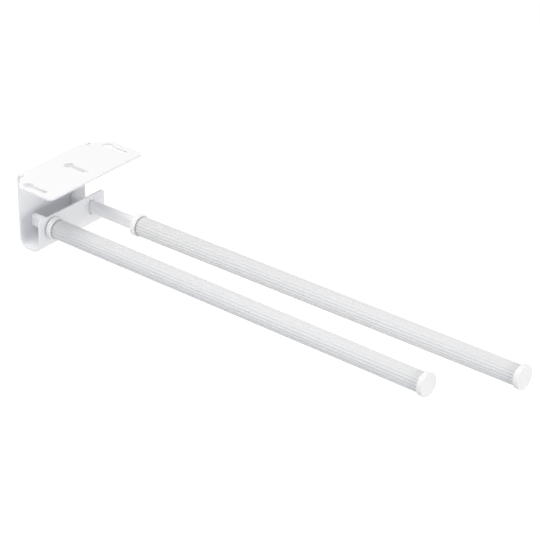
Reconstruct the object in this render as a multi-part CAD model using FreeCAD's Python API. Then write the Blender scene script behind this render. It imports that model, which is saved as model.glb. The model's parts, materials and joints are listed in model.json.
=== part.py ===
"""Pull-out double towel rail that is screwed under a worktop. All sizes are in millimetres.

The origin is the centre of the middle keyhole's round end, on the mounting face that meets the worktop.
+X runs across the bracket, +Z is up, and the rails leave the bracket towards -Y.
"""
import FreeCAD
import Part
import math
import os
from FreeCAD import Placement, Rotation, Vector

# Where the two rails sit, and how far they spread towards the front
rail_pitch = 52.8
rail_drop = 53.0
toe_out_degrees = 0.5
right_rail_pull = 54.9

# Sheet steel bracket
sheet = 2.0
strip_margin = 17.4
flare_width = 18.45
flare_run = 17.0
flare_corner_radius = 2.0
plate_depth = 60.0
plate_corner_radius = 5.0
top_bend_inner_radius = 2.0
channel_floor = 6.4
channel_bend_inner_radius = 8.0
channel_below_rail = 22.0
front_plate_above_rail = 11.8
front_plate_corner_radius = 3.5
relief_width = 1.2
relief_inset = 1.5
relief_setback = 3.5

# Keyholes in the top plate, in one row, with their slots towards the front
keyhole_count = 3
keyhole_setback = 24.0
keyhole_margin = 9.25
head_hole_diameter = 9.5
slot_width = 4.8
slot_front_margin = 12.7

# Guide bars, flat at the sides so that the rails can't turn and round above and below
bar_width = 7.3
bar_height = 13.3
tapped_hole_depth = 16.0

# Fluted sliding tubes
bar_to_tube_gap = 1.15
tube_wall = 1.6
tube_length = 421.8
flute_count = 20
flute_depth = 0.3
flute_land = 0.83

# Rear collars
flange_overhang = 1.2
collar_flange = 5.4
collar_boss = 0.9
collar_boss_wall = 1.7
collar_shoulder = 0.9
collar_shoulder_step = 0.25
collar_sleeve = 22.0
rim_rounding = 0.5

# Friction rings in the collars
ring_width = 1.8
ring_thickness = 1.8
ring_clearance = 0.05
ring_groove_clearance = 0.3

# End caps
cap_overhang = 1.65
cap_flange = 5.3
cap_plug = 15.0
cap_plug_wall = 1.6
plug_lead_in = 0.8

# Guide heads on the bar tips, and the room left in front of them when a rail is pushed in
guide_socket = 14.0
guide_nose = 12.0
guide_counterbore = 5.0
vent_count = 3
vent_width = 2.0
vent_depth = 0.6
parked_clearance = 78.5

# Fasteners
bar_screw_diameter = 5.0
bar_screw_length = 16.0
bar_screw_head_diameter = 9.5
bar_screw_head_height = 2.8
bar_screw_head_rounding = 1.8
bar_screw_socket = 3.0
bar_screw_socket_depth = 1.6
washer_diameter = 9.2
washer_thickness = 1.2
washer_split = 1.0
tip_screw_diameter = 4.0
tip_screw_length = 16.0
tip_screw_head_diameter = 7.6
tip_screw_head_height = 2.2
tip_screw_head_rounding = 1.2
tip_screw_socket = 2.5
tip_screw_socket_depth = 1.3

# Fits
slide_clearance = 0.08
stop_gap = 0.3
seat_gap = 0.05
seat_clearance = 0.03
thread_clearance = 0.1
screw_hole_clearance = 0.3
bar_hole_clearance = 0.25
bar_hole_headroom = 1.0

# How far a cutter runs past what it cuts, and how near two lengths must be to count as equal
cut_margin = 2.0
tolerance = 1e-6

# Bracket sizes that follow from the sizes above
strip_width = rail_pitch + 2 * strip_margin
plate_width = strip_width + 2 * flare_width
keyhole_pitch = (plate_width - 2 * keyhole_margin) / (keyhole_count - 1)
top_bend_outer_radius = top_bend_inner_radius + sheet
channel_bend_outer_radius = channel_bend_inner_radius + sheet
channel_depth = channel_floor + 2 * channel_bend_outer_radius
bracket_height = rail_drop + channel_below_rail
front_plate_drop = rail_drop - front_plate_above_rail
back_face = keyhole_setback
back_inner_face = back_face - sheet
channel_front_face = back_face - channel_depth
plate_front_edge = back_face - plate_depth
bend_line = back_face - top_bend_outer_radius

# Radii that build up outwards from the top of the bar
bar_reach = bar_height / 2
boss_radius = bar_reach + slide_clearance + collar_boss_wall
ring_radius = bar_reach + ring_width
tube_bore_radius = bar_reach + bar_to_tube_gap
tube_radius = tube_bore_radius + tube_wall
shoulder_radius = tube_bore_radius + collar_shoulder_step
flange_radius = tube_radius + flange_overhang
cap_radius = tube_radius + cap_overhang

# A rail is not quite square to the plates, so its ends need this much room per millimetre of their radius
toe = math.radians(toe_out_degrees)
lift = math.tan(toe)

# Stations along a rail, counted from the back plate's inner face, with the rail pushed in
bar_station = seat_gap + bar_width / 2 * lift
washer_station = -sheet / math.cos(toe) - washer_diameter / 2 * lift - seat_gap - washer_thickness
front_plate_station = (channel_depth - sheet) / math.cos(toe)
collar_station = front_plate_station + stop_gap + boss_radius * lift
flange_station = collar_station + collar_boss
ring_station = flange_station + collar_flange / 2
shoulder_station = flange_station + collar_flange
tube_station = shoulder_station + collar_shoulder
sleeve_end_station = tube_station + collar_sleeve
tube_end_station = tube_station + tube_length
plug_end_station = tube_end_station - cap_plug
guide_end_station = plug_end_station - parked_clearance
tip_screw_seat_station = guide_end_station - guide_counterbore
bar_tip_station = guide_end_station - guide_nose
guide_station = bar_tip_station - guide_socket
rail_travel = guide_station - stop_gap - sleeve_end_station

along_axis = Vector(0, 0, 1)


def on_rail(shape, side, pull=0.0):
    """Places a piece that is drawn along the rail's axis on the left (-1) or right (+1) rail."""
    along = Vector(side * math.sin(toe), -math.cos(toe), 0)
    up = Vector(0, 0, 1)
    seat = Vector(side * rail_pitch / 2, back_inner_face, -rail_drop)
    rail_frame = Placement(seat + along * pull, Rotation(up.cross(along), up, along, "ZYX"))
    placed = shape.copy()
    placed.Placement = rail_frame.multiply(shape.Placement)
    return placed


def filled(points):
    """Face inside the outline through these points."""
    return Part.Face(Part.makePolygon(points + points[:1]))


def turned(corners):
    """Solid turned about the rail's axis from (radius, station) corners."""
    points = [Vector(radius, 0, station) for radius, station in corners]
    return filled(points).revolve(Vector(), along_axis, 360)


def pipe(outer_radius, inner_radius, start, end):
    """Plain tube along the rail's axis."""
    return turned([(inner_radius, start), (outer_radius, start), (outer_radius, end), (inner_radius, end)])


def cylinder(radius, start, end):
    """Plain cylinder along the rail's axis."""
    return Part.makeCylinder(radius, end - start, Vector(0, 0, start))


def round_rims(shape, radius, stations, rounding):
    """Rounds the circular edges of this radius at these stations."""
    rims = []
    for edge in shape.Edges:
        if not isinstance(edge.Curve, Part.Circle):
            continue
        same_radius = abs(edge.Curve.Radius - radius) < tolerance
        same_station = any(abs(edge.Curve.Center.z - station) < tolerance for station in stations)
        if same_radius and same_station:
            rims.append(edge)
    return shape.makeFillet(rounding, rims)


def edges_through(shape, points, direction):
    """Edges along this direction whose line passes through one of these points."""
    found = []
    for edge in shape.Edges:
        start = edge.firstVertex().Point
        run = edge.lastVertex().Point - start
        if run.cross(direction).Length > tolerance:
            continue
        if any((start - point).cross(direction).Length < tolerance for point in points):
            found.append(edge)
    return found


def arc(start, middle, end):
    """Edge through three points."""
    return Part.Arc(start, middle, end).toShape()


def line(start, end):
    """Straight edge."""
    return Part.LineSegment(start, end).toShape()


def flat_bar(clearance, start, end, headroom=0.0):
    """Length of the guide bar's section along the rail's axis, larger by a clearance and perhaps taller."""
    radius = bar_width / 2 + clearance
    rise = (bar_height - bar_width) / 2 + headroom
    right_low, right_high = Vector(radius, -rise, start), Vector(radius, rise, start)
    left_low, left_high = Vector(-radius, -rise, start), Vector(-radius, rise, start)
    top, bottom = Vector(0, rise + radius, start), Vector(0, -rise - radius, start)
    edges = [
        line(right_low, right_high), arc(right_high, top, left_high),
        line(left_high, left_low), arc(left_low, bottom, right_low),
    ]
    return Part.Face(Part.Wire(edges)).extrude(Vector(0, 0, end - start))


def strip_wall(inset):
    """Edges of one face of the bent strip, from top bend to front plate, this far inside the outer face."""
    top_radius = top_bend_outer_radius - inset
    channel_radius = channel_bend_outer_radius - inset
    bend_level = -top_bend_outer_radius
    channel_level = -bracket_height + channel_bend_outer_radius
    rear_centre = back_face - channel_bend_outer_radius
    front_centre = channel_front_face + channel_bend_outer_radius
    half = math.sqrt(0.5)
    plate_end = Vector(0, bend_line, -inset)
    back_top = Vector(0, back_face - inset, bend_level)
    back_low = Vector(0, back_face - inset, channel_level)
    floor_rear = Vector(0, rear_centre, inset - bracket_height)
    floor_front = Vector(0, front_centre, inset - bracket_height)
    front_low = Vector(0, channel_front_face + inset, channel_level)
    front_top = Vector(0, channel_front_face + inset, -front_plate_drop)
    top_middle = Vector(0, bend_line + top_radius * half, bend_level + top_radius * half)
    rear_middle = Vector(0, rear_centre + channel_radius * half, channel_level - channel_radius * half)
    front_middle = Vector(0, front_centre - channel_radius * half, channel_level - channel_radius * half)
    edges = [
        arc(plate_end, top_middle, back_top), line(back_top, back_low),
        arc(back_low, rear_middle, floor_rear), line(floor_rear, floor_front),
        arc(floor_front, front_middle, front_low), line(front_low, front_top),
    ]
    return edges, plate_end, front_top


def bent_strip():
    """Back plate, channel and front plate, with the bend that leads to the top plate."""
    outer, outer_start, outer_end = strip_wall(0)
    inner, inner_start, inner_end = strip_wall(sheet)
    edges = outer + inner + [line(outer_start, inner_start), line(outer_end, inner_end)]
    section = Part.Face(Part.Wire(Part.__sortEdges__(edges)))
    strip = section.extrude(Vector(strip_width, 0, 0))
    strip.translate(Vector(-strip_width / 2, 0, 0))
    corners = [Vector(side * strip_width / 2, 0, -front_plate_drop) for side in (-1, 1)]
    return strip.makeFillet(front_plate_corner_radius, edges_through(strip, corners, Vector(0, 1, 0)))


def top_plate():
    """Flat plate that meets the worktop, flared from the strip's width and rounded at its corners."""
    strip_half = strip_width / 2
    plate_half = plate_width / 2
    flare_end = bend_line - flare_run
    outline = [
        Vector(-strip_half, bend_line, -sheet), Vector(strip_half, bend_line, -sheet),
        Vector(plate_half, flare_end, -sheet), Vector(plate_half, plate_front_edge, -sheet),
        Vector(-plate_half, plate_front_edge, -sheet), Vector(-plate_half, flare_end, -sheet),
    ]
    up = Vector(0, 0, 1)
    plate = filled(outline).extrude(up * sheet)
    flare_corners = [Vector(side * plate_half, flare_end, 0) for side in (-1, 1)]
    front_corners = [Vector(side * plate_half, plate_front_edge, 0) for side in (-1, 1)]
    plate = plate.makeFillet(flare_corner_radius, edges_through(plate, flare_corners, up))
    return plate.makeFillet(plate_corner_radius, edges_through(plate, front_corners, up))


def slot_cutter(start, end, width):
    """Cutter through the top plate for a slot with round ends between two points."""
    height = sheet + 2 * cut_margin
    base = Vector(0, 0, -sheet - cut_margin)
    sideways = (end - start).cross(Vector(0, 0, 1)).normalize() * (width / 2)
    sides = [start + base + sideways, end + base + sideways, end + base - sideways, start + base - sideways]
    slot = filled(sides).extrude(Vector(0, 0, height))
    ends = [Part.makeCylinder(width / 2, height, point + base) for point in (start, end)]
    return slot.fuse(ends)


def keyhole(x):
    """Cutter for one keyhole: the round end takes the screw's head, the slot its shank."""
    head_base = Vector(x, 0, -sheet - cut_margin)
    head = Part.makeCylinder(head_hole_diameter / 2, sheet + 2 * cut_margin, head_base)
    slot_end = plate_front_edge + slot_front_margin + slot_width / 2
    return head.fuse(slot_cutter(Vector(x, 0, 0), Vector(x, slot_end, 0), slot_width))


def bend_relief(side):
    """Cutter for the short slit that parts the flare from the bend at one side."""
    y = bend_line - relief_setback
    inner_end = Vector(side * (strip_width / 2 - relief_inset), y, 0)
    outer_end = Vector(side * plate_width / 2, y, 0)
    return slot_cutter(inner_end, outer_end, relief_width)


def mounting_bracket():
    """One piece of bent sheet: top plate, back plate, channel and front plate, with all its holes."""
    bracket = bent_strip().fuse(top_plate()).removeSplitter()
    first_keyhole = -keyhole_pitch * (keyhole_count - 1) / 2
    cutters = [keyhole(first_keyhole + number * keyhole_pitch) for number in range(keyhole_count)]
    hole_start = front_plate_station - sheet - cut_margin
    hole_end = front_plate_station + cut_margin
    bar_hole = flat_bar(bar_hole_clearance, hole_start, hole_end, bar_hole_headroom)
    screw_hole = cylinder(bar_screw_diameter / 2 + screw_hole_clearance, -sheet - cut_margin, cut_margin)
    for side in (-1, 1):
        cutters.append(bend_relief(side))
        cutters.append(on_rail(bar_hole, side))
        cutters.append(on_rail(screw_hole, side))
    return bracket.cut(cutters).removeSplitter()


def guide_bar():
    """Flat-sided steel bar that the rail slides on, with a tapped hole in each end."""
    rear_radius = bar_screw_diameter / 2 + thread_clearance
    tip_radius = tip_screw_diameter / 2 + thread_clearance
    rear_hole = cylinder(rear_radius, bar_station - cut_margin, bar_station + tapped_hole_depth)
    tip_hole = cylinder(tip_radius, bar_tip_station - tapped_hole_depth, bar_tip_station + cut_margin)
    return flat_bar(0, bar_station, bar_tip_station).cut([rear_hole, tip_hole])


def socket_screw(diameter, length, head_diameter, head_height, head_rounding, socket, socket_depth):
    """Screw with a rounded head on station 0, a hexagon socket and a shank that runs back from it."""
    head_radius = head_diameter / 2
    head = round_rims(cylinder(head_radius, 0, head_height), head_radius, [head_height], head_rounding)
    corner = Vector(socket / math.sqrt(3), 0, head_height - socket_depth)
    hexagon = [Rotation(along_axis, 60 * number).multVec(corner) for number in range(6)]
    recess = filled(hexagon).extrude(Vector(0, 0, socket_depth + cut_margin))
    return head.cut(recess).fuse(cylinder(diameter / 2, -length, 0)).removeSplitter()


def bar_screw():
    """Screw from behind the back plate into the bar's rear end."""
    screw = socket_screw(
        bar_screw_diameter, bar_screw_length, bar_screw_head_diameter, bar_screw_head_height,
        bar_screw_head_rounding, bar_screw_socket, bar_screw_socket_depth,
    )
    screw.rotate(Vector(), Vector(1, 0, 0), 180)
    screw.translate(Vector(0, 0, washer_station))
    return screw


def guide_head_screw():
    """Screw through the guide head into the bar's tip."""
    screw = socket_screw(
        tip_screw_diameter, tip_screw_length, tip_screw_head_diameter, tip_screw_head_height,
        tip_screw_head_rounding, tip_screw_socket, tip_screw_socket_depth,
    )
    screw.translate(Vector(0, 0, tip_screw_seat_station))
    return screw


def lock_washer():
    """Split ring between the bar screw's head and the back plate."""
    bore_radius = bar_screw_diameter / 2 + screw_hole_clearance
    washer = pipe(washer_diameter / 2, bore_radius, washer_station, washer_station + washer_thickness)
    corner = Vector(-washer_split / 2, 0, washer_station)
    return washer.cut(Part.makeBox(washer_split, washer_diameter, washer_thickness, corner))


def guide_head():
    """Plastic glide on the bar's tip that runs in the tube and stops the rail at full reach."""
    outer_radius = tube_bore_radius - slide_clearance
    screw_radius = tip_screw_diameter / 2 + screw_hole_clearance
    counterbore_radius = tip_screw_head_diameter / 2 + screw_hole_clearance
    head = turned([
        (screw_radius, guide_station), (outer_radius, guide_station), (outer_radius, guide_end_station),
        (counterbore_radius, guide_end_station), (counterbore_radius, tip_screw_seat_station),
        (screw_radius, tip_screw_seat_station),
    ])
    socket = flat_bar(seat_clearance, guide_station - cut_margin, bar_tip_station)
    vents = []
    for number in range(vent_count):
        corner = Vector(outer_radius - vent_depth, -vent_width / 2, guide_station)
        vent = Part.makeBox(vent_depth + cut_margin, vent_width, guide_socket + guide_nose, corner)
        vent.rotate(Vector(), along_axis, number * 360 / vent_count)
        vents.append(vent)
    return head.cut([socket] + vents)


def fluted_tube():
    """Extruded tube with shallow round flutes all round its outside."""
    pitch = 2 * math.pi / flute_count
    half_flute = (pitch - flute_land / tube_radius) / 2

    def at(radius, turn):
        return Vector(radius * math.cos(turn), radius * math.sin(turn), tube_station)

    edges = []
    for number in range(flute_count):
        middle = number * pitch
        flute_start = at(tube_radius, middle - half_flute)
        flute_end = at(tube_radius, middle + half_flute)
        next_start = at(tube_radius, middle + pitch - half_flute)
        edges.append(arc(flute_start, at(tube_radius - flute_depth, middle), flute_end))
        edges.append(arc(flute_end, at(tube_radius, middle + pitch / 2), next_start))
    outside = Part.Face(Part.Wire(edges)).extrude(Vector(0, 0, tube_length))
    return outside.cut(cylinder(tube_bore_radius, tube_station - cut_margin, tube_end_station + cut_margin))


def collar():
    """Rear bush: a boss towards the bracket, a flange, a shoulder for the tube and a sleeve inside it."""
    sleeve_radius = tube_bore_radius - seat_clearance
    body = turned([
        (0, collar_station), (boss_radius, collar_station), (boss_radius, flange_station),
        (flange_radius, flange_station), (flange_radius, shoulder_station),
        (shoulder_radius, shoulder_station), (shoulder_radius, tube_station),
        (sleeve_radius, tube_station), (sleeve_radius, sleeve_end_station), (0, sleeve_end_station),
    ])
    body = round_rims(body, flange_radius, [flange_station, shoulder_station], rim_rounding)
    bore = flat_bar(slide_clearance, collar_station - cut_margin, sleeve_end_station + cut_margin)
    half_groove = ring_thickness / 2 + ring_groove_clearance
    groove_radius = ring_radius + ring_groove_clearance
    return body.cut([bore, cylinder(groove_radius, ring_station - half_groove, ring_station + half_groove)])


def friction_ring():
    """Rubber ring in the collar's groove that rubs on the bar."""
    start = ring_station - ring_thickness / 2
    end = ring_station + ring_thickness / 2
    bore = flat_bar(ring_clearance, start - cut_margin, end + cut_margin)
    return cylinder(ring_radius, start, end).cut(bore)


def end_cap():
    """Front cap: a flange over the tube's end and a hollow plug inside it."""
    plug_radius = tube_bore_radius - seat_clearance
    hollow_radius = plug_radius - cap_plug_wall
    face_station = tube_end_station + cap_flange
    body = turned([
        (0, tube_end_station), (hollow_radius, tube_end_station), (hollow_radius, plug_end_station),
        (plug_radius - plug_lead_in, plug_end_station), (plug_radius, plug_end_station + plug_lead_in),
        (plug_radius, tube_end_station), (cap_radius, tube_end_station), (cap_radius, face_station),
        (0, face_station),
    ])
    return round_rims(body, cap_radius, [tube_end_station, face_station], rim_rounding)


fixed_pieces = {
    "guide_bar": guide_bar(),
    "bar_screw": bar_screw(),
    "lock_washer": lock_washer(),
    "guide_head": guide_head(),
    "guide_head_screw": guide_head_screw(),
}
sliding_pieces = {
    "friction_ring": friction_ring(),
    "tube": fluted_tube(),
    "collar": collar(),
    "end_cap": end_cap(),
}

nodes = {"mounting_bracket": mounting_bracket()}
for name_side, side, pull in (("left", -1, 0.0), ("right", 1, right_rail_pull)):
    for name, shape in fixed_pieces.items():
        nodes[f"{name_side}_{name}"] = on_rail(shape, side)
    for name, shape in sliding_pieces.items():
        nodes[f"{name_side}_{name}"] = on_rail(shape, side, pull)

os.makedirs("parts", exist_ok=True)
for name, shape in nodes.items():
    shape.exportStep(f"parts/{name}.step")
    print(f"{name}: {len(shape.Solids)} solid, valid {shape.isValid()}, {shape.Volume / 1000:.3f} cm3")
print(f"Each rail slides {rail_travel:.2f} mm; the keyholes stand {keyhole_pitch:.2f} mm apart.")
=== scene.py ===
# %% [markdown]
# # A pull-out towel rail, dressed for its picture
# The rail hangs under a worktop. A bent sheet bracket carries two flat-sided bars, and a fluted tube
# slides on each. The solids were drawn and packed beforehand and come in as a fixed frame. This
# lesson adds what plain solids lack: rolled sheet edges, smooth flutes, finishes and light. Every new
# piece rides on the body that carries it.

# %% Load the packed solids
import bmesh
import bpy
import json
import math
from mathutils import Matrix, Vector

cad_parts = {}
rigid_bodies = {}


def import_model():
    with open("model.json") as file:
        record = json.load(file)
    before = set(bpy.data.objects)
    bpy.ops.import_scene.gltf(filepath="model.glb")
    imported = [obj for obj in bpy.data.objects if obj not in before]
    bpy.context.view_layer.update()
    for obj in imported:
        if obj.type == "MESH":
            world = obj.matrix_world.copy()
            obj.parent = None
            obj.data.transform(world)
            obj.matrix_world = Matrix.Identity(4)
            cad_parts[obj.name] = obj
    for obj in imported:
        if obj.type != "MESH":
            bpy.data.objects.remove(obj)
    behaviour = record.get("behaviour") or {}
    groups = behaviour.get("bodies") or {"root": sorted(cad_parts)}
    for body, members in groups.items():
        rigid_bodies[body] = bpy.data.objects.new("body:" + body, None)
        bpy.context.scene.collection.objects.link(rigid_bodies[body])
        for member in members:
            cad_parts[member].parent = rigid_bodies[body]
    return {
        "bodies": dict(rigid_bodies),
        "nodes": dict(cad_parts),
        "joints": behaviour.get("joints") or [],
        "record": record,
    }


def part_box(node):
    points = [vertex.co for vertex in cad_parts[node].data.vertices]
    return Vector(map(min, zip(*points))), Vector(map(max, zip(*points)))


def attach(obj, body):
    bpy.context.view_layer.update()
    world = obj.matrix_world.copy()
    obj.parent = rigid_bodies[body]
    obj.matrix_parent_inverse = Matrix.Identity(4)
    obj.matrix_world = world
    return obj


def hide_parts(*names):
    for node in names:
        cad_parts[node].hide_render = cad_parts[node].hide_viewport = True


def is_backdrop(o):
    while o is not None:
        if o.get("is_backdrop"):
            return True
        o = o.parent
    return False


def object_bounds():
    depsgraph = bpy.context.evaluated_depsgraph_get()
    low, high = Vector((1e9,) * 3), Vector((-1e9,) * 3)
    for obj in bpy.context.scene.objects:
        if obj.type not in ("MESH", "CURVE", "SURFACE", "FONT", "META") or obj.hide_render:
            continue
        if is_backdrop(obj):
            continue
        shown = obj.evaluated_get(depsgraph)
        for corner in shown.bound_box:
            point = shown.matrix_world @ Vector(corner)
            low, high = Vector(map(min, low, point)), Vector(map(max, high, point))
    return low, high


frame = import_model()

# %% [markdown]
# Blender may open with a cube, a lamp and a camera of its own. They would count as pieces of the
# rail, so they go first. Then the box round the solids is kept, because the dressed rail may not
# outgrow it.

scene = bpy.context.scene
from_the_frame = set(frame["nodes"].values()) | set(frame["bodies"].values())
for thing in list(bpy.data.objects):
    if thing not in from_the_frame:
        bpy.data.objects.remove(thing)
solid_low, solid_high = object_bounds()
millimetre = 0.001
print("solids:", [round((high - low) / millimetre, 1) for low, high in zip(solid_low, solid_high)], "mm")

# %% [markdown]
# A catalogue picture is taken from far away with a long lens, so that parallel edges stay almost
# parallel. The place, angles and lens below were found by fitting straight edges of the bracket and
# tubes. A camera could also be aimed with a Track To constraint, but three angles can be written down
# and repeated exactly.

# %% Camera
camera_place = Vector((-1.60041, -1.55202, 1.11049))
camera_heading = math.radians(-50.663)
camera_elevation = math.radians(28.768)
camera_roll = math.radians(0.332)
camera_lens, camera_reach = 179.55, 50.0

view_camera = bpy.data.objects.new("view_camera", bpy.data.cameras.new("view_camera"))
scene.collection.objects.link(view_camera)
scene.camera = view_camera
view_camera.data.lens = camera_lens
view_camera.data.clip_end = camera_reach
level = Matrix.Rotation(camera_heading, 4, "Z") @ Matrix.Rotation(math.pi / 2 - camera_elevation, 4, "X")
turn = level @ Matrix.Rotation(camera_roll, 4, "Z")
view_camera.matrix_world = Matrix.Translation(camera_place) @ turn
print("camera looks along", [round(part, 3) for part in turn @ Vector((0, 0, -1))])

# %% [markdown]
# A finish is a graph of shader nodes. Drawn as boxes and wires, a formula such as 0.4 + 0.1 * grain
# is hard to read. Here a small class stands for a wire, and Python's own plus, minus and times add
# the Math nodes.

# %% Wires that can be added and multiplied
class Wire:
    """One output socket of a node. Sums and products of wires add Math nodes to their graph."""

    def __init__(self, graph, socket):
        self.graph = graph
        self.socket = socket

    def math(self, operation, first, second):
        return self.graph.add("ShaderNodeMath", {"operation": operation}, {0: first, 1: second})

    def __add__(self, other):
        return self.math("ADD", self, other)

    def __sub__(self, other):
        return self.math("SUBTRACT", self, other)

    def __rsub__(self, other):
        return self.math("SUBTRACT", other, self)

    def __mul__(self, other):
        return self.math("MULTIPLY", self, other)

    __radd__ = __add__
    __rmul__ = __mul__


operators = ("__add__", "__radd__", "__sub__", "__rsub__", "__mul__", "__rmul__")
print("wires have", [name for name in operators if name in vars(Wire)])

# %% [markdown]
# One method adds every other kind of node: its type, its settings, then the values or wires of its
# sockets. The short methods after it are the few steps that all the finishes share, so that each line
# of a finish says one thing.

# %% Graphs of nodes
class Graph:
    """The nodes of one finish, or of the world."""

    def __init__(self, owner):
        owner.use_nodes = True
        self.tree = owner.node_tree
        self.tree.nodes.clear()

    def add(self, kind, settings=None, inputs=None, output=0):
        """Adds a node and gives one of its outputs as a wire."""
        node = self.tree.nodes.new(kind)
        for name, value in (settings or {}).items():
            setattr(node, name, value)
        for name, value in (inputs or {}).items():
            if isinstance(value, Wire):
                self.tree.links.new(value.socket, node.inputs[name])
            else:
                node.inputs[name].default_value = value
        return Wire(self, node.outputs[output]) if node.outputs else node

    def grain(self, place, size, detail=2.0):
        """Noise between 0 and 1 whose patches are about this many millimetres across."""
        sockets = {"Vector": place, "Scale": 1 / (size * millimetre), "Detail": detail}
        return self.add("ShaderNodeTexNoise", {}, sockets)

    def mix(self, share, first, second):
        """A colour between two colours."""
        # A Mix node has sockets for several kinds of data. Numbers 0, 6 and 7 are those for colours.
        sockets = {0: share, 6: first, 7: second}
        return self.add("ShaderNodeMix", {"data_type": "RGBA"}, sockets, output=2)

    def bump(self, height, depth, strength):
        """A normal that follows a height of 0 to 1 as if it were this many millimetres deep."""
        sockets = {"Height": height, "Distance": depth * millimetre, "Strength": strength}
        return self.add("ShaderNodeBump", {}, sockets)

    def seam(self, offset, width):
        """1 on the line where the offset is nothing, and 0 from this many millimetres on."""
        away = self.add("ShaderNodeMath", {"operation": "ABSOLUTE"}, {0: offset})
        sockets = {"Value": away, "From Max": width * millimetre, "To Min": 1.0, "To Max": 0.0}
        return self.add("ShaderNodeMapRange", {}, sockets)

    def surface(self, sockets):
        """The shader that the finish ends in."""
        shader = self.add("ShaderNodeBsdfPrincipled", {}, sockets)
        self.add("ShaderNodeOutputMaterial", {}, {"Surface": shader})


def grey(level, tint=(1.0, 1.0, 1.0)):
    """A colour of this lightness."""
    return tuple(level * share for share in tint) + (1.0,)


print("a colour of half lightness:", grey(0.5))

# %% [markdown]
# The bracket and the bars are coated steel. Powder is sprayed on dry and baked, so it runs together
# into a satin skin with a faint orange-peel wave about a millimetre and a half long, finer grains on
# top of it, and broad, hardly visible clouds where the skin is thicker. An image of real paint would
# do too, but noise has no seams and no edges. Where a bar meets the back plate, a thin dark line of
# painted shade is drawn round its end, in place of the contact shadow there.

# %% Powder coat for the bracket and the bars
cool = (0.99, 1.0, 1.01)
# A near black for the painted shade lines round the bars' ends and next to the tubes' collars.
painted_shade_colour = grey(0.1)
coating_index = 1.5
peel_size, peel_depth, coat_speck_size, coat_cloud_size = 1.6, 0.02, 0.3, 40.0
bar_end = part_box("left_guide_bar")[1].y
bar_shadow_line_width = 1.0


def powder_coat(name, lightness, gloss_floor, shadow_line_share=0.0):
    """A satin coat of this lightness. A share above 0 paints a line of shade where a bar meets the back
    plate.
    """
    finish = bpy.data.materials.new(name)
    graph = Graph(finish)
    place = graph.add("ShaderNodeTexCoord", output="Object")
    peel = graph.grain(place, peel_size)
    specks = graph.grain(place, coat_speck_size, detail=4.0)
    clouds = graph.grain(place, coat_cloud_size, detail=3.0)
    thin, thick = grey(lightness * 0.985, cool), grey(lightness * 1.01, cool)
    coat = graph.mix(clouds * 0.7 + specks * 0.3, thin, thick)
    # Painted shade: a dark line round the bar's end where it meets the back plate, in place of the
    # contact shadow.
    if shadow_line_share:
        length = graph.add("ShaderNodeSeparateXYZ", {}, {"Vector": place}, output="Y")
        coat = graph.mix(graph.seam(length - bar_end, bar_shadow_line_width) * shadow_line_share, coat, painted_shade_colour)
    graph.surface({
        "Base Color": coat,
        "Roughness": gloss_floor + 0.14 * specks + 0.08 * clouds,
        "Normal": graph.bump(peel * 0.75 + specks * 0.25, peel_depth, 0.6),
        "IOR": coating_index,
    })
    return finish


bracket_coat = powder_coat("bracket_coat", 0.86, 0.40)
bar_coat = powder_coat("bar_coat", 0.88, 0.32, shadow_line_share=0.5)
print("coats:", bracket_coat.name, bar_coat.name, "with a line at", round(bar_end / millimetre, 2), "mm")

# %% [markdown]
# The tubes are drawn through a die, which leaves hair-fine lines along them, and are then lacquered a
# pale silver white. The lines come from noise that is stretched along the tube: a tube's own Z axis
# lies along its length, so squeezing Z to a hundredth draws each grain out into a streak. The
# generated Z runs from 0 to 1 along the tube, and places a dark line of painted shade where its filed
# rear end meets the collar, in place of the shadow in that seam.

# %% Lacquered, drawn aluminium for the tubes
tube_low, tube_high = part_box("left_tube")
tube_shadow_line_width, tube_shadow_line_share = 1.1, 0.6
streak_squeeze = 0.01
die_line_size, die_line_depth, lacquer_speck_size, lacquer_cloud_size = 0.45, 0.003, 0.25, 60.0


def drawn_lacquer(name, lightness):
    """A satin lacquer over die lines, with painted shade where the tube's rear end meets its collar."""
    finish = bpy.data.materials.new(name)
    graph = Graph(finish)
    place = graph.add("ShaderNodeTexCoord", output="Object")
    streaked = graph.add("ShaderNodeMapping", {}, {"Vector": place, "Scale": (1.0, 1.0, streak_squeeze)})
    die_lines = graph.grain(streaked, die_line_size, detail=3.0)
    specks = graph.grain(place, lacquer_speck_size, detail=3.0)
    clouds = graph.grain(place, lacquer_cloud_size, detail=2.0)
    dull, bright = grey(lightness * 0.99, cool), grey(lightness * 1.01, cool)
    lacquer = graph.mix(die_lines * 0.6 + clouds * 0.4, dull, bright)
    share = graph.add("ShaderNodeTexCoord", output="Generated")
    along = graph.add("ShaderNodeSeparateXYZ", {}, {"Vector": share}, output="Z")
    # Painted shade: a dark line at the rear end, next to the collar, in place of the shadow in that seam.
    line = graph.seam(along * (tube_high.y - tube_low.y), tube_shadow_line_width)
    graph.surface({
        "Base Color": graph.mix(line * tube_shadow_line_share, lacquer, painted_shade_colour),
        "Roughness": 0.40 + 0.10 * die_lines + 0.06 * specks,
        "Normal": graph.bump(die_lines * 0.8 + specks * 0.2, die_line_depth, 0.5),
        "IOR": coating_index,
    })
    return finish


tube_lacquer = drawn_lacquer("tube_lacquer", 0.718)
print("tube finish:", tube_lacquer.name, "over", round((tube_high.y - tube_low.y) / millimetre), "mm")

# %% [markdown]
# Collars and caps are moulded in white plastic. The mould is spark eroded, so the skin has a very
# fine, even grain, and where the two halves of the mould met there is a parting line that a
# fingernail only just feels. The line lies in the level plane through the rail's axis, so the height
# above that plane is enough to draw it.

# %% Moulded plastic for the collars, caps and glides
rail_drop = 53.0
parting_line_width = 0.12
spark_size, flow_size, skin_depth = 0.18, 9.0, 0.02
plastic_index = 1.49


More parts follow.
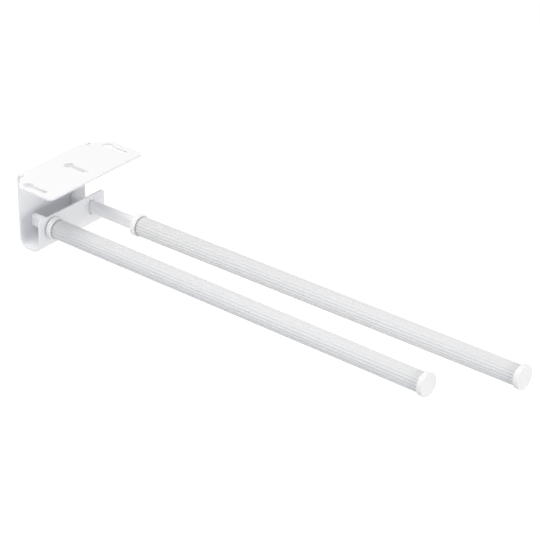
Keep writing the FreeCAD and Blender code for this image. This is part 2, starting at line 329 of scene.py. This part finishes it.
def moulded_plastic(name, lightness, tint, gloss_floor):
    """A spark-grained skin of this lightness and tint, with its parting line."""
    finish = bpy.data.materials.new(name)
    graph = Graph(finish)
    place = graph.add("ShaderNodeTexCoord", output="Object")
    spark = graph.grain(place, spark_size, detail=3.0)
    flow = graph.grain(place, flow_size, detail=2.0)
    height = graph.add("ShaderNodeSeparateXYZ", {}, {"Vector": place}, output="Z")
    ridge = graph.seam(height + rail_drop * millimetre, parting_line_width / 2)
    dull, bright = grey(lightness * 0.985, tint), grey(lightness, tint)
    graph.surface({
        "Base Color": graph.mix(flow * 0.8 + spark * 0.2, dull, bright),
        "Roughness": gloss_floor + 0.10 * spark + 0.05 * flow,
        "Normal": graph.bump(spark * 0.3 + ridge * 0.7, skin_depth, 0.6),
        "IOR": plastic_index,
    })
    return finish


white_plastic = moulded_plastic("white_plastic", 0.865, (1.0, 1.0, 1.0), 0.34)
glide_plastic = moulded_plastic("glide_plastic", 0.78, (1.0, 0.985, 0.93), 0.42)
print("plastics:", white_plastic.name, glide_plastic.name, "with a parting line at", -rail_drop, "mm")

# %% [markdown]
# The fasteners behind the back plate are bright zinc plate: a metal with a cool sheen that drifts a
# little between blue and straw, and small scratches that catch the light. A fully metallic shader
# takes its colour from what it reflects, so only the tint and the roughness change over it.

# %% Zinc plate for the fasteners
blue_zinc, straw_zinc = (0.60, 0.63, 0.66, 1.0), (0.69, 0.68, 0.63, 1.0)
drift_size, scratch_size, scratch_depth, scratch_squeeze = 5.0, 0.15, 0.006, 0.12


def zinc_plate(name):
    """A bright metal that drifts between two tints, with fine scratches."""
    finish = bpy.data.materials.new(name)
    graph = Graph(finish)
    place = graph.add("ShaderNodeTexCoord", output="Object")
    drift = graph.grain(place, drift_size, detail=2.0)
    brushed = graph.add("ShaderNodeMapping", {}, {"Vector": place, "Scale": (1.0, 1.0, scratch_squeeze)})
    scratches = graph.grain(brushed, scratch_size, detail=4.0)
    graph.surface({
        "Base Color": graph.mix(drift, blue_zinc, straw_zinc),
        "Metallic": 1.0,
        "Roughness": 0.22 + 0.16 * scratches + 0.08 * drift,
        "Normal": graph.bump(scratches, scratch_depth, 0.5),
    })
    return finish


zinc_steel = zinc_plate("zinc_steel")
print("fasteners:", zinc_steel.name)

# %% [markdown]
# The ring in each collar is plain black rubber, cut from sheet and rough. It hides in its groove, and
# shows only when a collar is taken off its bar.

# %% Rubber for the friction rings
dust_size, dust_depth = 0.2, 0.02


def black_rubber(name):
    """A matt black with a little dust in it."""
    finish = bpy.data.materials.new(name)
    graph = Graph(finish)
    place = graph.add("ShaderNodeTexCoord", output="Object")
    dust = graph.grain(place, dust_size, detail=3.0)
    graph.surface({
        "Base Color": graph.mix(dust, grey(0.02), grey(0.045)),
        "Roughness": 0.65 + 0.2 * dust,
        "Normal": graph.bump(dust, dust_depth, 0.5),
    })
    return finish


ring_rubber = black_rubber("ring_rubber")
print("rings:", ring_rubber.name)

# %% [markdown]
# A solid whose shape is already right only needs its finish. The bars, collars, caps, screws,
# washers, glides and rings stay as they came, and each gets the finish of its slot in the record.

# %% Finishes for the pieces that stay as solids
finish_of_slot = {
    "bracket_coat": bracket_coat, "bar_coat": bar_coat, "tube_aluminium": tube_lacquer,
    "white_plastic": white_plastic, "zinc_steel": zinc_steel, "glide_plastic": glide_plastic,
    "ring_rubber": ring_rubber,
}
for part in frame["record"]["subparts"]:
    solid = frame["nodes"][part["node"]]
    solid.material_slots[0].material = finish_of_slot[part["material_slot"]]

# %% [markdown]
# New pieces are built as meshes from their points and faces. A short helper makes the object, puts it
# in its place, gives it the finish of its slot, seats it on the body that carries it and hides the
# solid it stands for.

# %% A helper that seats a new piece
def seat(mesh, body, slot, node, place=None):
    """Makes an object of a mesh that takes a solid's place on its body."""
    piece = bpy.data.objects.new(mesh.name, mesh)
    scene.collection.objects.link(piece)
    piece.matrix_world = place or Matrix()
    mesh.materials.append(finish_of_slot[slot])
    mesh.polygons.foreach_set("use_smooth", [True] * len(mesh.polygons))
    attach(piece, body)
    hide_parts(node)
    return piece


# %% [markdown]
# The real bracket is cut flat from sheet and then folded, and the same order works here. Lengths
# along the flat blank count from the plate's front edge. Each bend takes up a quarter circle through
# the middle of the sheet, so the lengths of the flats and bends add up to the blank's length.

# %% The bracket's sizes, and its length laid flat
sheet = 2.0
plate_half, plate_front = 62.25, -36.0
strip_half = 43.8
back_face, channel_front = 24.0, -2.4
bend_radius, channel_radius = 4.0, 10.0
bracket_height, front_plate_drop = 75.0, 41.2

plate_run = back_face - bend_radius - plate_front
bend_run = math.pi / 2 * (bend_radius - sheet / 2)
back_run = bracket_height - bend_radius - channel_radius
channel_bend_run = math.pi / 2 * (channel_radius - sheet / 2)
floor_run = back_face - channel_front - 2 * channel_radius
front_run = bracket_height - channel_radius - front_plate_drop
runs = [plate_run, bend_run, back_run, channel_bend_run, floor_run, channel_bend_run, front_run]
stations = [sum(runs[:count]) for count in range(len(runs) + 1)]
bend_stretches = (1, 3, 5)
bend_starts = [round(stations[stretch], 1) for stretch in bend_stretches]
print("the blank is", round(stations[-1], 1), "mm long, with bends from", bend_starts)

# %% [markdown]
# Round stretches of an outline are short runs of points on arcs. A corner is rounded by the arc that
# touches both of its sides, which a bevel on the finished mesh would do less exactly where the sides
# don't meet at right angles.

# %% Arcs and rounded corners
def arc(centre, radius, start, end, steps):
    """Points on an arc, with its angles in degrees."""
    angles = [math.radians(start + (end - start) * step / steps) for step in range(steps + 1)]
    return [Vector(centre) + Vector((math.cos(angle), math.sin(angle))) * radius for angle in angles]


def rounded(before, corner, after, radius, steps=8):
    """Points on the arc that rounds one corner of an outline."""
    before, corner, after = Vector(before), Vector(corner), Vector(after)
    towards_before, towards_after = (before - corner).normalized(), (after - corner).normalized()
    half_angle = towards_before.angle(towards_after) / 2
    centre = corner + (towards_before + towards_after).normalized() * (radius / math.sin(half_angle))
    touch = radius / math.tan(half_angle)
    first, last = corner + towards_before * touch - centre, corner + towards_after * touch - centre
    return [centre + first.slerp(last, step / steps).normalized() * radius for step in range(steps + 1)]


square_corner = rounded((0, 0), (10, 0), (10, 10), 5)
print("a square corner is rounded from", tuple(square_corner[0]), "to", tuple(square_corner[-1]))

# %% [markdown]
# The blank is a plate with flared sides that runs on into a narrower strip. A short slit parts the
# flare from the strip beside the first bend, so that the sheet can fold there without tearing. Only
# the right half is drawn.

# %% The blank's outline
plate_corner, front_plate_corner = 5.0, 3.5
flare_run, flare_corner = 17.0, 2.0
relief_inner_end, relief_setback, relief_half_width = 42.3, 3.5, 0.6
relief_steps = 8
flare_start = plate_run - flare_run
flare_slope = (plate_half - strip_half) / flare_run


def flare_point(along):
    """Point of the flared edge at this length along the blank."""
    return Vector((strip_half + (plate_run - along) * flare_slope, along))


def right_half_outline():
    """The blank's edge on the right, from the plate's front edge to the front plate's top edge."""
    slit, top = plate_run - relief_setback, stations[-1]
    side = rounded((0, 0), (plate_half, 0), (plate_half, flare_start), plate_corner)
    side += rounded((plate_half, 0), (plate_half, flare_start), (strip_half, plate_run), flare_corner)
    side.append(flare_point(slit - relief_half_width))
    side += arc((relief_inner_end, slit), relief_half_width, 270, 90, relief_steps)
    side.append(flare_point(slit + relief_half_width))
    side.append(flare_point(plate_run))
    side += rounded((strip_half, plate_run), (strip_half, top), (0, top), front_plate_corner)
    return side


right_side = right_half_outline()
blank_outline = right_side + [Vector((-point.x, point.y)) for point in reversed(right_side)]
print("blank outline:", len(blank_outline), "points")

# %% [markdown]
# The blank has three keyholes in the plate, two screw holes in what becomes the back plate, and two
# upright slots for the bars in what becomes the front plate. The rails toe out a little, so the slots
# stand wider apart than the screw holes. The angle comes from the joint's own axis.

# %% The blank's holes
keyhole_places = (-53.0, 0.0, 53.0)
head_radius, slot_half, slot_tip = 4.75, 2.4, -20.9
rail_half_pitch, screw_hole_radius = 26.4, 2.8
bar_hole_radius, bar_hole_rise = 3.9, 4.0
round_steps, half_round_steps, slot_tip_steps = 40, 20, 14


def keyhole(x):
    """Closed outline of one keyhole, with its slot towards the plate's front edge."""
    opening = math.degrees(math.asin(slot_half / head_radius))
    head = arc((x, -plate_front), head_radius, opening - 90, 270 - opening, round_steps)
    return head + arc((x, slot_tip - plate_front), slot_half, 180, 360, slot_tip_steps)


def bar_hole(x, along):
    """Closed outline of the upright slot for one bar."""
    top = arc((x, along + bar_hole_rise), bar_hole_radius, 0, 180, half_round_steps)
    return top + arc((x, along - bar_hole_rise), bar_hole_radius, 180, 360, half_round_steps)


toe_out = math.acos(-frame["joints"][0]["axis"][1])
spread = (back_face - sheet - channel_front) * math.tan(toe_out)
holes = [keyhole(x) for x in keyhole_places]
for side in (-1, 1):
    screw_place = (side * rail_half_pitch, stations[2] + rail_drop - bend_radius)
    holes.append(arc(screw_place, screw_hole_radius, 0, 360, round_steps)[:-1])
    holes.append(bar_hole(side * (rail_half_pitch + spread), stations[-1] + front_plate_drop - rail_drop))
print(len(holes), "holes; the bars spread by", round(spread, 2), "mm on their way to the front plate")

# %% [markdown]
# A filled 2D curve takes holes as further closed splines, gives the sheet its thickness, and rolls
# its edges over with a small bevel, which is how a coated edge catches the light. The curve is turned
# into a mesh for folding.

# %% The blank cut from sheet
edge_roll, roll_steps = 0.25, 2

blank = bpy.data.curves.new("folded_bracket", "CURVE")
blank.dimensions = "2D"
blank.fill_mode = "BOTH"
blank.extrude = sheet / 2 - edge_roll
blank.bevel_depth = edge_roll
blank.bevel_resolution = roll_steps
blank.offset = -edge_roll
for outline in [blank_outline] + holes:
    spline = blank.splines.new("POLY")
    spline.points.add(len(outline) - 1)
    for point, place in zip(spline.points, outline):
        point.co = (place.x, place.y, 0.0, 1.0)
    spline.use_cyclic_u = True
flat_blank = bpy.data.objects.new("flat_blank", blank)
scene.collection.objects.link(flat_blank)
bpy.context.view_layer.update()
finished_curve = flat_blank.evaluated_get(bpy.context.evaluated_depsgraph_get())
bracket_mesh = bpy.data.meshes.new_from_object(finished_curve)
bpy.data.objects.remove(flat_blank)
print("flat blank:", len(bracket_mesh.vertices), "points")

# %% [markdown]
# Folding is a map from the flat sheet to the bent one. Along the flats a point only shifts, and along
# a bend it goes round a quarter circle whose radius shrinks with the depth below the outer face. A
# Simple Deform modifier bends too, but only once, and this sheet has three bends.

# %% How the sheet folds
weld_distance = 0.0005


def folded(point):
    """Where a point of the flat blank lies on the bent bracket, in metres."""
    along, depth = point.y, sheet / 2 - point.z
    passed = [index for index in range(len(runs)) if along >= stations[index] - weld_distance]
    stretch = max(passed, default=0)
    run = along - stations[stretch]
    turned = run / runs[stretch] * math.pi / 2
    rear, front = back_face - channel_radius, channel_front + channel_radius
    low = channel_radius - bracket_height
    small, large = bend_radius - depth, channel_radius - depth
    y, z = (
        (plate_front + run, -depth),
        (back_face - bend_radius + small * math.sin(turned), -bend_radius + small * math.cos(turned)),
        (back_face - depth, -bend_radius - run),
        (rear + large * math.cos(turned), low - large * math.sin(turned)),
        (rear - run, depth - bracket_height),
        (front - large * math.sin(turned), low - large * math.cos(turned)),
        (channel_front + depth, low + run),
    )[stretch]
    return Vector((point.x, y, z)) * millimetre


front_top = folded(Vector((0, stations[-1], sheet / 2)))
print("the blank's far edge folds to", [round(part / millimetre, 2) for part in front_top], "mm")

# %% [markdown]
# The bends are first cut across into narrow strips, because a long triangle can't curve. Then every
# point moves to its folded place. Shading that is weighted by face area keeps the flats flat beside
# their rolled edges.

# %% Fold the blank into the bracket
bend_steps = 12

work = bmesh.new()
work.from_mesh(bracket_mesh)
bmesh.ops.remove_doubles(work, verts=work.verts, dist=weld_distance)
for stretch in bend_stretches:
    for step in range(bend_steps + 1):
        cut = Vector((0, stations[stretch] + runs[stretch] * step / bend_steps, 0))
        everything = work.verts[:] + work.edges[:] + work.faces[:]
        plane = {"plane_co": cut, "plane_no": (0, 1, 0), "dist": weld_distance}
        bmesh.ops.bisect_plane(work, geom=everything, **plane)
for vertex in work.verts:
    vertex.co = folded(vertex.co)
bmesh.ops.recalc_face_normals(work, faces=work.faces)
open_edges = sum(not edge.is_manifold for edge in work.edges)
work.to_mesh(bracket_mesh)
work.free()
bracket_mesh.materials.clear()
bracket = seat(bracket_mesh, "bracket", "bracket_coat", "mounting_bracket")
bracket.modifiers.new("even_shading", "WEIGHTED_NORMAL")
print("folded bracket:", len(bracket_mesh.polygons), "faces,", open_edges, "open edges")

# %% [markdown]
# Each tube is built in its rail's own frame: Z runs out along the rail from the back plate, X is
# level and Y is up. The length, bore and outside are measured on the packed tube in that frame, so
# the new one sits exactly where it is.

# %% The rails' own frames
def rail_frame(side, joint):
    """The frame of the left (-1) or right (+1) rail."""
    along = Vector(joint["axis"]).normalized()
    across = along.cross(Vector((0, 0, 1))).normalized()
    axes = Matrix((across, across.cross(along), along)).transposed().to_4x4()
    rear_end = Vector((side * rail_half_pitch, back_face - sheet, -rail_drop)) * millimetre
    return Matrix.Translation(rear_end) @ axes


def measured(node, place):
    """First and last station and smallest and largest radius of a solid about a rail."""
    points = [place.inverted() @ vertex.co for vertex in frame["nodes"][node].data.vertices]
    lengths = [point.z for point in points]
    radii = [math.hypot(point.x, point.y) for point in points]
    return min(lengths), max(lengths), min(radii), max(radii)


joint_of = {joint["name"]: joint for joint in frame["joints"]}
left_place = rail_frame(-1, joint_of["left_pull"])
right_place = rail_frame(1, joint_of["right_pull"])
print("left tube:", [round(length / millimetre, 2) for length in measured("left_tube", left_place)], "mm")

# %% [markdown]
# A tube's flutes are shallow waves in its outside, pressed by the die. One ring of points carries the
# wave round the circle, and rings are joined in order into a closed skin: in at the rear, over the
# outside and back through the bore.

# %% Fluted rings and the skin over them
flute_count = 20
points_per_flute = 14


def fluted_ring(radius, depth, station, turn_degrees):
    """One ring of points. The flutes dip below the radius by this depth, the first one at this turn."""
    count = flute_count * points_per_flute
    ring = []
    for step in range(count):
        angle = 2 * math.pi * step / count
        dip = depth * (0.5 + 0.5 * math.cos(flute_count * (angle - math.radians(turn_degrees))))
        ring.append(((radius - dip) * math.cos(angle), (radius - dip) * math.sin(angle), station))
    return ring


def joined_rings(name, rings):
    """A closed mesh of rings that are joined in order, the last one to the first."""
    count = len(rings[0])
    faces = []
    for index in range(len(rings)):
        here, there = index * count, (index + 1) % len(rings) * count
        for step in range(count):
            after = (step + 1) % count
            faces.append((here + step, here + after, there + after, there + step))
    mesh = bpy.data.meshes.new(name)
    mesh.from_pydata([point for ring in rings for point in ring], [], faces)
    return mesh


print("points round a tube:", len(fluted_ring(0.01, 0.0, 0.0, 0.0)))

# %% [markdown]
# Both tubes are cut from the same length of stock, but each was pushed on to its collar as it came to
# hand, so their flutes start at different turns. The cut ends are broken with a fine file, which
# rounds their edges. The thin dark seam next to the collar is painted shade in the tube's finish.

# %% The fluted tubes
flute_depth = 0.42
end_rounding = 0.25
left_flute_turn, right_flute_turn = -0.6, 4.4
sharp_edge = math.radians(60)


def fluted_tube(side, place, turn_degrees):
    """One sliding tube in place of its plain solid."""
    start, end, bore, radius = measured(f"{side}_tube", place)
    depth, rounding = flute_depth * millimetre, end_rounding * millimetre
    mesh = joined_rings(f"{side}_fluted_tube", [
        fluted_ring(bore, 0.0, start, 0.0),
        fluted_ring(radius - rounding, depth, start, turn_degrees),
        fluted_ring(radius, depth, start + rounding, turn_degrees),
        fluted_ring(radius, depth, end - rounding, turn_degrees),
        fluted_ring(radius - rounding, depth, end, turn_degrees),
        fluted_ring(bore, 0.0, end, 0.0),
    ])
    piece = seat(mesh, f"{side}_rail", "tube_aluminium", f"{side}_tube", place)
    mesh.set_sharp_from_angle(angle=sharp_edge)
    return piece


tubes = [
    fluted_tube("left", left_place, left_flute_turn),
    fluted_tube("right", right_place, right_flute_turn),
]
print("tubes:", [(tube.name, len(tube.data.polygons)) for tube in tubes])

# %% [markdown]
# The set is a pale floor and a white surround. The rail hangs high above the floor, as it would under
# a worktop, so its soft shadow falls well below it. A floor lit like the rail would look light grey,
# so rays from the camera, and rays mirrored in metal, see a little white of its own on top, and far
# away nothing but white. The near part still darkens in the shadow.

# %% Floor
floor_level, floor_half = -0.55, 8.0
floor_colour, floor_lift = grey(0.82), 0.36
white_from, white_to = 1.6, 3.6


def seen_directly(graph):
    """1 for rays that come from the camera, a mirror or glass, and 0 for rays that only carry light."""
    outputs = [f"Is {ray} Ray" for ray in ("Camera", "Glossy", "Transmission")]
    seen = [graph.add("ShaderNodeLightPath", output=name) for name in outputs]
    total = seen[0] + seen[1] + seen[2]
    return total.math("MINIMUM", total, 1.0)


floor_finish = bpy.data.materials.new("pale_floor")
floor_graph = Graph(floor_finish)
floor_place = floor_graph.add("ShaderNodeTexCoord", output="Object")
length_of = {"operation": "LENGTH"}
distance = floor_graph.add("ShaderNodeVectorMath", length_of, {0: floor_place}, output="Value")
reach = {"Value": distance, "From Min": white_from, "From Max": white_to}
far = floor_graph.add("ShaderNodeMapRange", {}, reach)
matt = floor_graph.add("ShaderNodeBsdfDiffuse", {}, {"Color": floor_colour})
lift = floor_graph.add("ShaderNodeEmission", {}, {"Color": grey(1.0), "Strength": floor_lift})
lifted = floor_graph.add("ShaderNodeAddShader", {}, {0: matt, 1: lift})
plain = floor_graph.add("ShaderNodeEmission", {}, {"Color": grey(1.0), "Strength": 1.0})
faded = floor_graph.add("ShaderNodeMixShader", {}, {0: far, 1: lifted, 2: plain})
pale = floor_graph.add("ShaderNodeMixShader", {}, {0: seen_directly(floor_graph), 1: matt, 2: faded})
floor_graph.add("ShaderNodeOutputMaterial", {}, {"Surface": pale})
floor_gap = round((solid_low.z - floor_level) / millimetre)
print("floor", floor_gap, "mm below the rail, white beyond", white_to, "m")

# %% [markdown]
# The floor itself is one large square. It belongs to the stage, so it is no piece of the rail and
# isn't measured.

# %% Lay the floor
floor_mesh = bpy.data.meshes.new("pale_floor")
corner_signs = ((-1, -1), (1, -1), (1, 1), (-1, 1))
floor_corners = [(x * floor_half, y * floor_half, floor_level) for x, y in corner_signs]
floor_mesh.from_pydata(floor_corners, [], [(0, 1, 2, 3)])
floor_mesh.materials.append(floor_finish)
floor = bpy.data.objects.new("pale_floor", floor_mesh)
scene.collection.objects.link(floor)
floor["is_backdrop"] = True
print("floor:", 2 * floor_half, "m square")

# %% [markdown]
# The surround is a room without walls. Its light is bright and a little warm from above, dim and blue
# at the horizon, so that the sides in shadow turn slightly blue. What the camera and metal see of it
# is plain white.

# %% Surround
horizon_strength, horizon_colour = 0.303, (0.2, 0.48, 1.0, 1.0)
zenith_strength, zenith_colour = 0.848, (1.0, 0.915, 0.85, 1.0)

surround = scene.world or bpy.data.worlds.new("surround")
scene.world = surround
surround_graph = Graph(surround)
direction = surround_graph.add("ShaderNodeTexCoord", output="Generated")
height = surround_graph.add("ShaderNodeSeparateXYZ", {}, {"Vector": direction}, output="Z")
above = height.math("MAXIMUM", height, 0.0)
horizon = {"Color": horizon_colour, "Strength": horizon_strength}
zenith = {"Color": zenith_colour, "Strength": zenith_strength}
low = surround_graph.add("ShaderNodeBackground", {}, horizon)
high = surround_graph.add("ShaderNodeBackground", {}, zenith)
glow = surround_graph.add("ShaderNodeMixShader", {}, {0: above, 1: low, 2: high})
white = surround_graph.add("ShaderNodeBackground", {}, {"Color": grey(1.0), "Strength": 1.0})
directly = seen_directly(surround_graph)
both = surround_graph.add("ShaderNodeMixShader", {}, {0: directly, 1: glow, 2: white})
surround_graph.add("ShaderNodeOutputWorld", {}, {"Surface": both})
print("surround:", horizon_strength, "at the horizon,", zenith_strength, "overhead")

# %% [markdown]
# The main light is a large soft box high on the left. Two more stand far in front, one ahead of the
# rails and one to their right: from there they reach under the top plate and light the tubes evenly
# from end to end. The boxes don't show as highlights, which would burn out white paint seen at a low
# angle.

# %% Soft boxes
def soft_box(name, offset, size, power, colour):
    """A square area lamp at this offset from the rail's middle that looks at the middle."""
    lamp = bpy.data.objects.new(name, bpy.data.lights.new(name, "AREA"))
    lamp.data.size, lamp.data.energy, lamp.data.color = size, power, colour
    lamp.location = middle + Vector(offset)
    lamp.rotation_euler = (-Vector(offset)).to_track_quat("-Z", "Y").to_euler()
    lamp.visible_camera = False
    lamp.visible_glossy = False
    scene.collection.objects.link(lamp)


middle = (solid_low + solid_high) / 2
soft_box("high_left_box", (-1.3, 0.4, 2.2), 2.2, 48.5, (0.995, 1.0, 0.965))
soft_box("far_front_box", (-0.3, -5.0, 0.3), 2.0, 70.7, (0.995, 1.0, 0.935))
soft_box("far_right_box", (2.5, -4.3, 0.3), 2.0, 46.5, (1.0, 0.92, 0.83))
scene.view_settings.view_transform = "Standard"

dressed_low, dressed_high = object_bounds()
sides = [round((high - low) / millimetre, 1) for low, high in zip(dressed_low, dressed_high)]
print("dressed:", sides, "mm")
